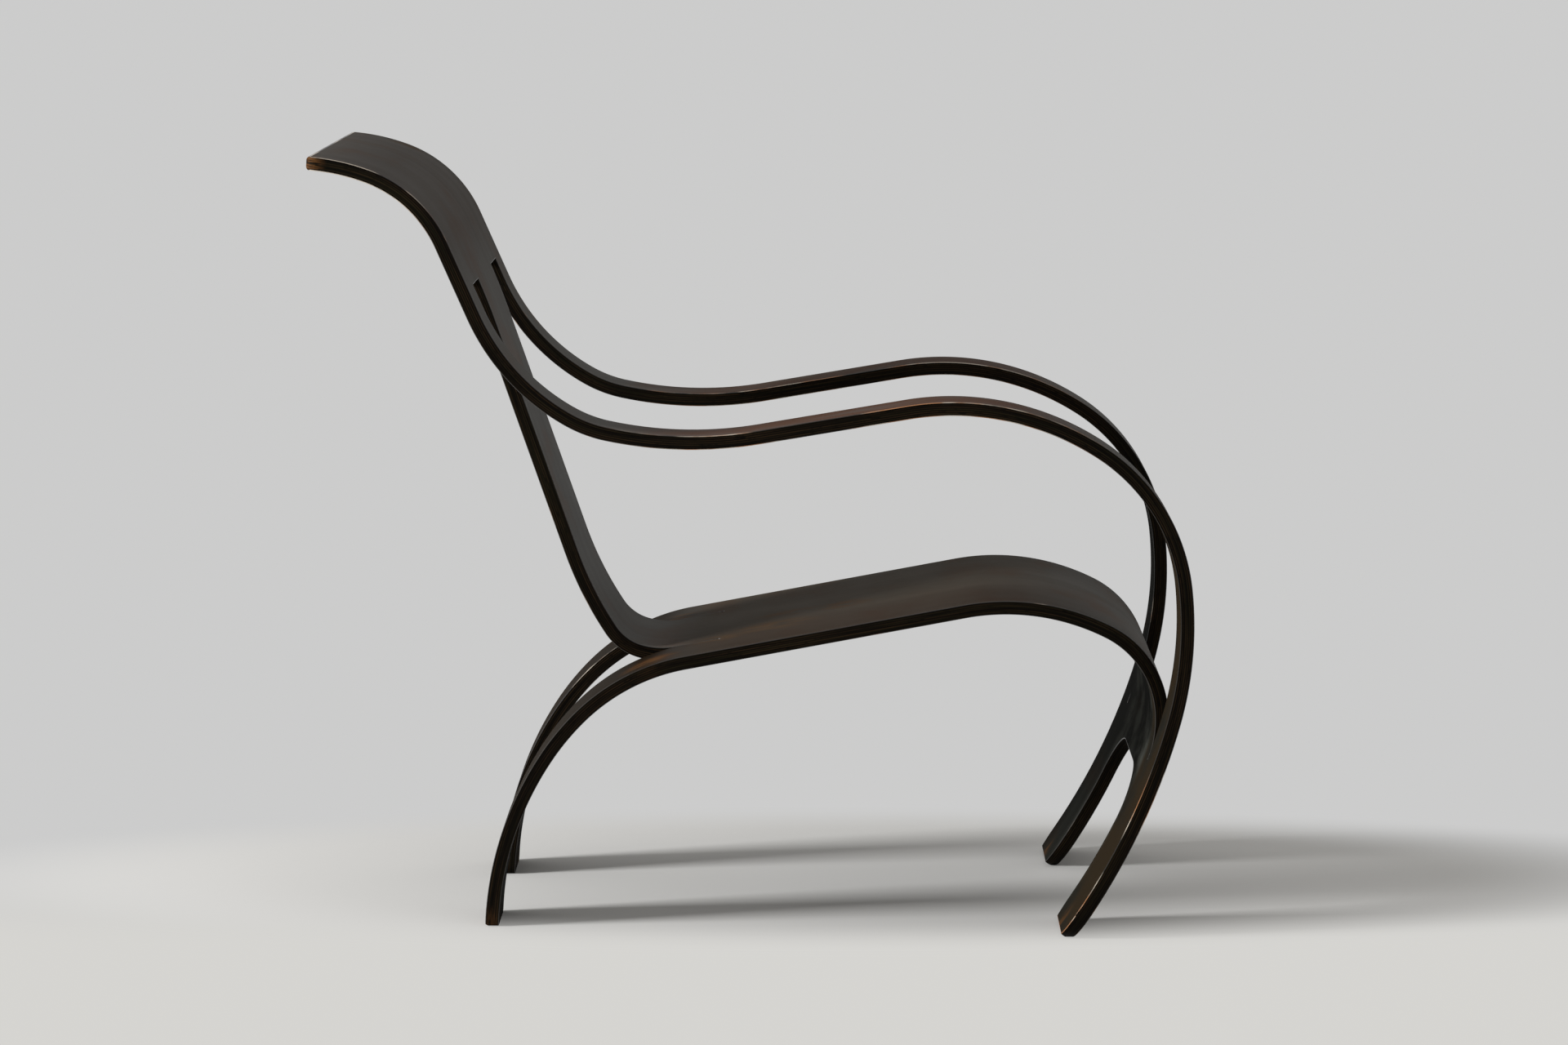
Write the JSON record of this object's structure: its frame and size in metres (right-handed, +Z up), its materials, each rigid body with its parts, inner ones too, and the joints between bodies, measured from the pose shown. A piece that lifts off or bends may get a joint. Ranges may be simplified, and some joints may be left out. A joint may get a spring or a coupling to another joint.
{
  "type": "plywood easy chair",
  "caption": "Low easy chair cut and bent from a single sheet of dark-stained plywood, with the arms, back, seat and legs slit out of the sheet and bent apart.",
  "frame": {"origin": "centre of the chair's box in x and y, on the floor that the feet stand on", "axes": "+X from the back towards the front of the chair, +Y towards its left side as one sits in it, +Z up"},
  "size_m": [0.8379, 0.6, 0.744],
  "materials": {
    "stained_face": "dark brown stain under a thin satin lacquer",
    "long_grain_edge": "stained edge of a veneer with its grain along the sheet",
    "cross_grain_edge": "stained end grain of a crosswise veneer, nearly black"
  },
  "bodies": {
    "root": {"veneer_01_show_face": "stained_face", "veneer_02_crossband": "cross_grain_edge", "veneer_03_long_grain": "long_grain_edge", "veneer_04_cross_grain": "cross_grain_edge", "veneer_05_long_grain": "long_grain_edge", "veneer_06_cross_grain": "cross_grain_edge", "veneer_07_centre": "long_grain_edge", "veneer_08_cross_grain": "cross_grain_edge", "veneer_09_long_grain": "long_grain_edge", "veneer_10_cross_grain": "cross_grain_edge", "veneer_11_long_grain": "long_grain_edge", "veneer_12_crossband": "cross_grain_edge", "veneer_13_back_face": "stained_face"}
  },
  "joints": []
}
